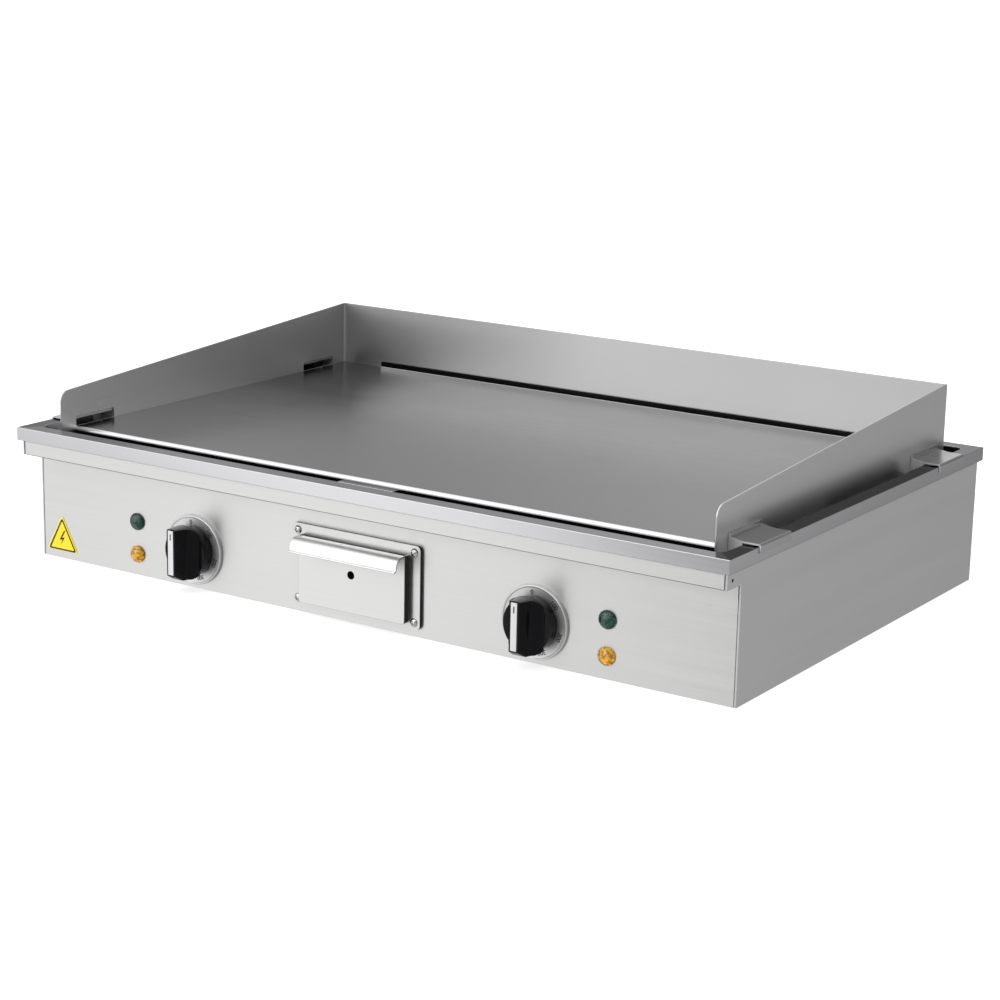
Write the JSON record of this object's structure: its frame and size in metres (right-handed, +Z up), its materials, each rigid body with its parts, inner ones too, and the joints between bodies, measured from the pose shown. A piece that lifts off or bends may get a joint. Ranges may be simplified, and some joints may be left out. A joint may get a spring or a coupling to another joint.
{
  "type": "electric griddle",
  "caption": "Wide flat top countertop griddle: low steel body, ground cooking plate, three-sided splash guard on hooked brackets, front knobs, lamps and a grease drawer.",
  "frame": {"origin": "centre of the base, on the surface that it stands on", "axes": "+Z up, -Y towards the cook, +X to the cook's right"},
  "size_m": [0.733, 0.5015, 0.183],
  "materials": {
    "satin_steel": "satin, brushed along its length",
    "ground_plate": "fine ground, slightly darker from heat",
    "galvanised": "dull",
    "zinc": "satin",
    "brass": "plain",
    "element_sheath": "matt, oxidised",
    "dial_aluminium": "satin",
    "black_plastic": "gloss",
    "grey_plastic": "matt",
    "white_plastic": "matt",
    "fibre": "matt fibre",
    "green_lens": "gloss, faceted",
    "amber_lens": "gloss, faceted",
    "yellow_label": "gloss"
  },
  "bodies": {
    "chassis": {"top_frame": "satin_steel", "front_apron": "satin_steel", "front_panel": "satin_steel", "left_side_panel": "satin_steel", "right_side_panel": "satin_steel", "rear_panel": "satin_steel", "base_plate": "galvanised", "foot_bushes": "brass", "griddle_plate": "ground_plate", "support_frame": "satin_steel", "rear_guard": "satin_steel", "left_guard": "satin_steel", "right_guard": "satin_steel", "front_left_bracket": "satin_steel", "front_right_bracket": "satin_steel", "rear_left_bracket": "satin_steel", "rear_right_bracket": "satin_steel", "plate_spout": "satin_steel", "grease_trough": "satin_steel", "grease_chute": "satin_steel", "heat_shield": "galvanised", "insulation_slab": "fibre", "left_heating_element": "element_sheath", "right_heating_element": "element_sheath", "clamp_bars": "galvanised", "clamp_studs": "zinc", "clamp_nuts": "zinc", "left_sensor": "brass", "right_sensor": "brass", "left_thermostat": "grey_plastic", "right_thermostat": "grey_plastic", "safety_thermostats": "grey_plastic", "left_dial": "dial_aluminium", "right_dial": "dial_aluminium", "left_green_lens": "green_lens", "left_amber_lens": "amber_lens", "right_green_lens": "green_lens", "right_amber_lens": "amber_lens", "lamp_housings": "white_plastic", "lamp_clips": "zinc", "drawer_surround": "satin_steel", "surround_screws": "zinc", "drawer_sleeve": "galvanised", "sleeve_support": "galvanised", "label_plate": "yellow_label", "terminal_block": "white_plastic", "wiring": "grey_plastic", "cable_gland": "grey_plastic", "gland_locknut": "grey_plastic", "earth_stud": "brass", "panel_screws": "zinc", "base_screws": "zinc"},
    "left_control": {"left_knob": "black_plastic", "left_pointer": "dial_aluminium", "left_shaft": "zinc"},
    "right_control": {"right_knob": "black_plastic", "right_pointer": "dial_aluminium", "right_shaft": "zinc"},
    "drawer": {"drawer_tray": "satin_steel", "drawer_front": "satin_steel"}
  },
  "joints": [
    {"name": "left_knob_turn", "type": "hinge", "parent": "chassis", "child": "left_control", "pos_m": [-0.1785, -0.2245, 0.035], "axis": [0, 1, 0], "range_deg": [0, 270]},
    {"name": "right_knob_turn", "type": "hinge", "parent": "chassis", "child": "right_control", "pos_m": [0.1785, -0.2245, 0.035], "axis": [0, 1, 0], "range_deg": [0, 270]},
    {"name": "drawer_slide", "type": "slide", "parent": "chassis", "child": "drawer", "axis": [0, -1, 0], "range_m": [0, 0.15]}
  ]
}
